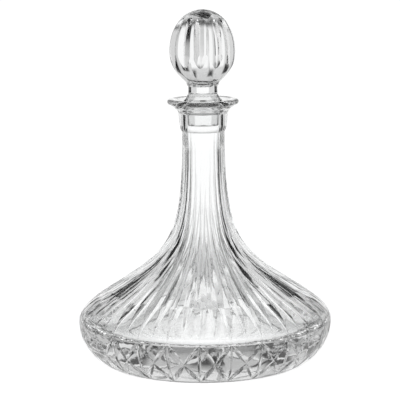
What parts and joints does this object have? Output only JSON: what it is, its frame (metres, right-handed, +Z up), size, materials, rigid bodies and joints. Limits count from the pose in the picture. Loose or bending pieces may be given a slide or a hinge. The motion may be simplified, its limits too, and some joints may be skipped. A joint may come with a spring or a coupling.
{
  "type": "decanter",
  "caption": "Wide-based cut-glass decanter with a long fluted neck, a flared lip and a lift-out stopper topped by a fluted ball.",
  "frame": {"origin": "middle of the foot, on the surface that the decanter stands on", "axes": "+Z up along the neck, -Y towards the viewer of the front, +X to that viewer's right"},
  "size_m": [0.19, 0.19, 0.2633],
  "materials": {
    "body_glass": "clear, fire-polished, with polished cuts",
    "stopper_glass": "clear, solid, fire-polished, with polished cuts"
  },
  "bodies": {
    "vessel": {"decanter_body": "body_glass"},
    "stopper": {"stopper": "stopper_glass"}
  },
  "joints": [
    {"name": "stopper_lift", "type": "slide", "parent": "vessel", "child": "stopper", "axis": [0, 0, 1], "range_m": [0, 0.06]}
  ]
}
